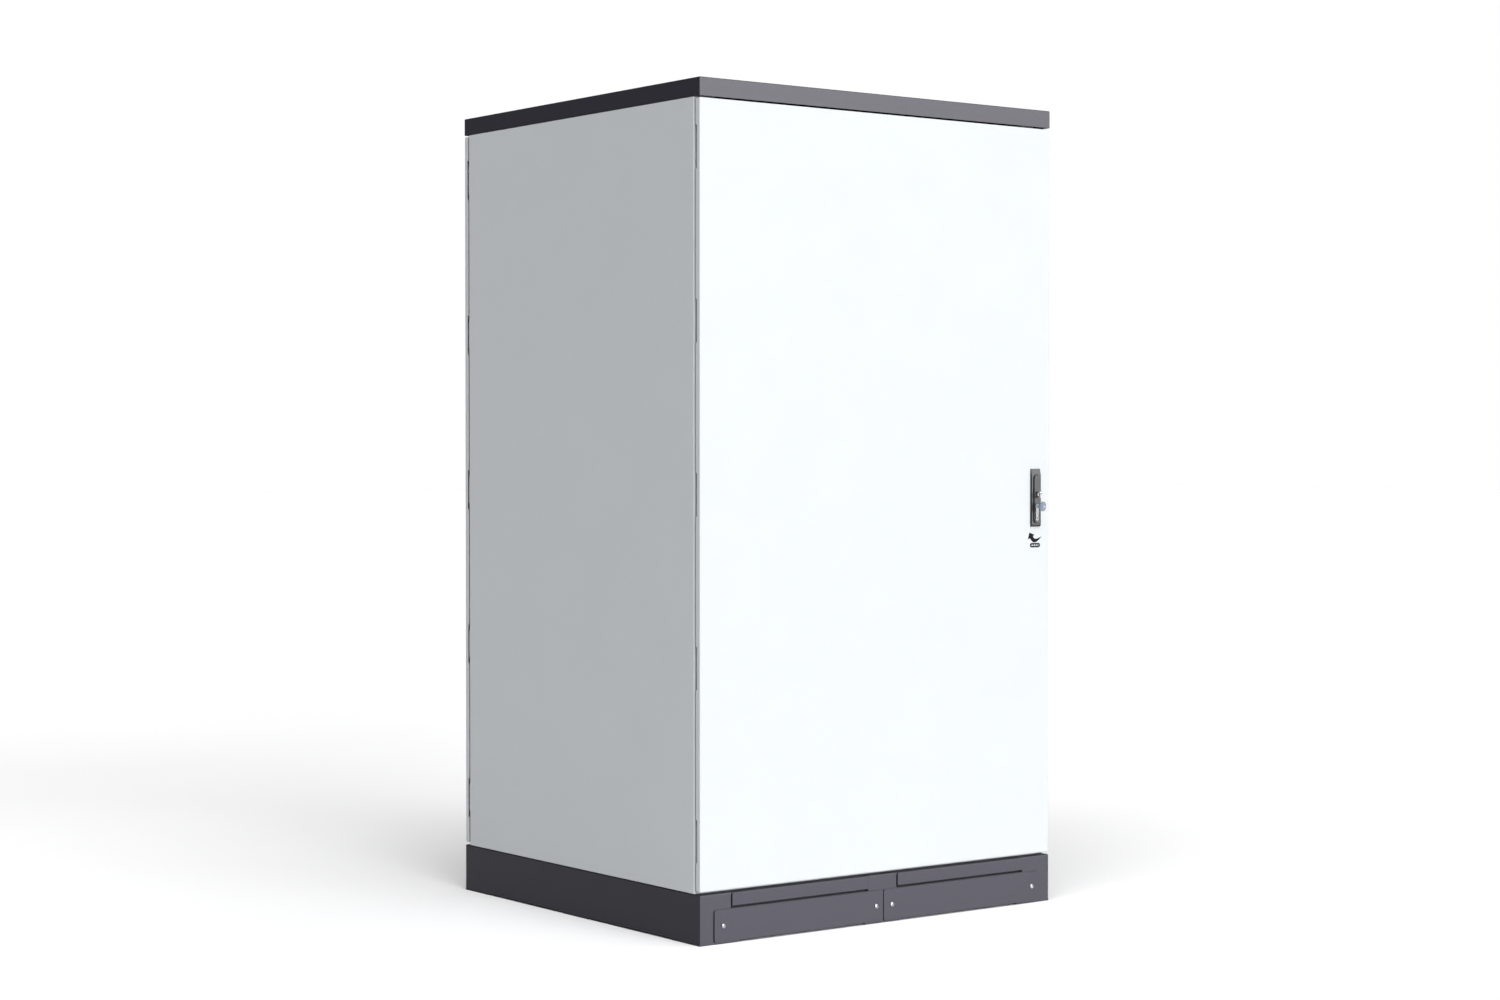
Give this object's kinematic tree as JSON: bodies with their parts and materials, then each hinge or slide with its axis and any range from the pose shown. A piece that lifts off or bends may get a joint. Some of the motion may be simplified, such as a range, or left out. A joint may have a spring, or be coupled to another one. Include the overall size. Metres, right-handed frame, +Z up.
{
  "type": "industrial switchboard cabinet",
  "caption": "Free-standing sheet-steel switchboard cabinet with front and rear hinged doors, a rod-lock swing handle, fitted switchgear, a roof cover and a plinth.",
  "frame": {"origin": "on the floor at the middle of the footprint", "axes": "+Z up, the front door faces -Y, both doors hang on the -X side"},
  "size_m": [1.094, 1.1196, 2],
  "materials": {
    "light_grey_paint": "fine textured powder coat, light grey",
    "anthracite_paint": "fine textured powder coat, anthracite",
    "frame_paint": "smooth light grey primer",
    "zinc_plate": "zinc-plated steel",
    "black_plastic": "fine grained black polyamide",
    "chrome_plate": "bright chrome-plated zinc",
    "key_steel": "nickel-plated key",
    "foam_rubber": "black foamed seal",
    "plate_steel": "galvanised sheet",
    "breaker_moulding": "dark grey moulding",
    "toggle_plastic": "black toggle",
    "copper": "drawn copper bar",
    "insulator": "red-brown glass-filled polyester",
    "duct_plastic": "grey PVC",
    "terminal_plastic": "beige polyamide",
    "pocket_plastic": "light grey polystyrene"
  },
  "bodies": {
    "cabinet": {"base_frame": "frame_paint", "busbar_l1": "copper", "busbar_l2": "copper", "busbar_l3": "copper", "busbar_support_left": "insulator", "busbar_support_right": "insulator", "cable_duct": "duct_plastic", "din_rail": "zinc_plate", "earth_bar": "copper", "feeder_breaker_1": "breaker_moulding", "feeder_breaker_2": "breaker_moulding", "feeder_breaker_3": "breaker_moulding", "frame_post_front_left": "frame_paint", "frame_post_front_right": "frame_paint", "frame_post_rear_left": "frame_paint", "frame_post_rear_right": "frame_paint", "front_hinge_carrier": "zinc_plate", "gland_plate": "plate_steel", "main_breaker": "breaker_moulding", "mounting_plate": "plate_steel", "neutral_bar": "copper", "plinth_cover_front_left": "anthracite_paint", "plinth_cover_front_right": "anthracite_paint", "plinth_cover_rear_left": "anthracite_paint", "plinth_cover_rear_right": "anthracite_paint", "plinth_frame": "anthracite_paint", "rear_hinge_carrier": "zinc_plate", "roof_cover": "anthracite_paint", "side_panel_left": "light_grey_paint", "side_panel_right": "light_grey_paint", "terminal_row": "terminal_plastic", "top_frame": "frame_paint"},
    "front_door_leaf": {"front_door": "light_grey_paint", "front_door_gasket": "foam_rubber", "front_door_stiffener": "light_grey_paint", "front_hinge_sleeves": "zinc_plate", "front_handle_housing": "black_plastic", "document_pocket": "pocket_plastic"},
    "front_spindle": {"front_lock_spindle": "zinc_plate"},
    "front_lever": {"front_handle_lever": "black_plastic", "front_lock_cylinder": "chrome_plate", "front_padlock_eye": "chrome_plate"},
    "front_lock_key": {"front_key": "key_steel"},
    "front_rod_upper": {"front_lock_rod_upper": "zinc_plate"},
    "front_rod_lower": {"front_lock_rod_lower": "zinc_plate"},
    "rear_door_leaf": {"rear_door": "light_grey_paint", "rear_door_gasket": "foam_rubber", "rear_door_stiffener": "light_grey_paint", "rear_hinge_sleeves": "zinc_plate", "rear_handle_housing": "black_plastic"},
    "rear_spindle": {"rear_lock_spindle": "zinc_plate"},
    "rear_lever": {"rear_handle_lever": "black_plastic", "rear_lock_cylinder": "chrome_plate"},
    "rear_lock_key": {"rear_key": "key_steel"},
    "rear_rod_upper": {"rear_lock_rod_upper": "zinc_plate"},
    "rear_rod_lower": {"rear_lock_rod_lower": "zinc_plate"},
    "main_breaker_switch": {"main_breaker_toggle": "toggle_plastic"},
    "feeder_breaker_1_switch": {"feeder_breaker_1_toggle": "toggle_plastic"},
    "feeder_breaker_2_switch": {"feeder_breaker_2_toggle": "toggle_plastic"},
    "feeder_breaker_3_switch": {"feeder_breaker_3_toggle": "toggle_plastic"}
  },
  "joints": [
    {"name": "front_door_hinge", "type": "hinge", "parent": "cabinet", "child": "front_door_leaf", "pos_m": [-0.537, -0.51, 1.041], "axis": [0, 0, -1], "range_deg": [0, 120]},
    {"name": "front_handle_turn", "type": "hinge", "parent": "front_door_leaf", "child": "front_spindle", "pos_m": [0.497, -0.519, 1.07], "axis": [0, 1, 0], "range_deg": [0, 90]},
    {"name": "front_lever_lift", "type": "hinge", "parent": "front_spindle", "child": "front_lever", "pos_m": [0.497, -0.5268, 1.0805], "axis": [-1, 0, 0], "range_deg": [0, 35]},
    {"name": "front_key_turn", "type": "hinge", "parent": "front_lever", "child": "front_lock_key", "pos_m": [0.497, -0.528, 1.002], "axis": [0, 1, 0], "range_deg": [0, 90]},
    {"name": "front_rod_upper_slide", "type": "slide", "parent": "front_door_leaf", "child": "front_rod_upper", "axis": [0, 0, -1], "range_m": [0, 0.0145]},
    {"name": "front_rod_lower_slide", "type": "slide", "parent": "front_door_leaf", "child": "front_rod_lower", "axis": [0, 0, 1], "range_m": [0, 0.0145]},
    {"name": "rear_door_hinge", "type": "hinge", "parent": "cabinet", "child": "rear_door_leaf", "pos_m": [-0.537, 0.51, 1.041], "axis": [0, 0, 1], "range_deg": [0, 120]},
    {"name": "rear_handle_turn", "type": "hinge", "parent": "rear_door_leaf", "child": "rear_spindle", "pos_m": [0.497, 0.519, 1.07], "axis": [0, 1, 0], "range_deg": [0, 90]},
    {"name": "rear_lever_lift", "type": "hinge", "parent": "rear_spindle", "child": "rear_lever", "pos_m": [0.497, 0.5268, 1.0805], "axis": [1, 0, 0], "range_deg": [0, 35]},
    {"name": "rear_key_turn", "type": "hinge", "parent": "rear_lever", "child": "rear_lock_key", "pos_m": [0.497, 0.528, 1.002], "axis": [0, 1, 0], "range_deg": [0, 90]},
    {"name": "rear_rod_upper_slide", "type": "slide", "parent": "rear_door_leaf", "child": "rear_rod_upper", "axis": [0, 0, -1], "range_m": [0, 0.0145]},
    {"name": "rear_rod_lower_slide", "type": "slide", "parent": "rear_door_leaf", "child": "rear_rod_lower", "axis": [0, 0, 1], "range_m": [0, 0.0145]},
    {"name": "main_breaker_switching", "type": "hinge", "parent": "cabinet", "child": "main_breaker_switch", "pos_m": [0, -0.149, 1.245], "axis": [1, 0, 0], "range_deg": [0, 34]},
    {"name": "feeder_breaker_1_switching", "type": "hinge", "parent": "cabinet", "child": "feeder_breaker_1_switch", "pos_m": [-0.245, -0.118, 0.817], "axis": [1, 0, 0], "range_deg": [0, 34]},
    {"name": "feeder_breaker_2_switching", "type": "hinge", "parent": "cabinet", "child": "feeder_breaker_2_switch", "pos_m": [0, -0.118, 0.817], "axis": [1, 0, 0], "range_deg": [0, 34]},
    {"name": "feeder_breaker_3_switching", "type": "hinge", "parent": "cabinet", "child": "feeder_breaker_3_switch", "pos_m": [0.245, -0.118, 0.817], "axis": [1, 0, 0], "range_deg": [0, 34]}
  ],
  "couplings": [
    {"joint": "front_rod_upper_slide", "follows": "front_handle_turn", "m_per_rad": 0.009},
    {"joint": "front_rod_lower_slide", "follows": "front_handle_turn", "m_per_rad": 0.009},
    {"joint": "rear_rod_upper_slide", "follows": "rear_handle_turn", "m_per_rad": 0.009},
    {"joint": "rear_rod_lower_slide", "follows": "rear_handle_turn", "m_per_rad": 0.009}
  ]
}
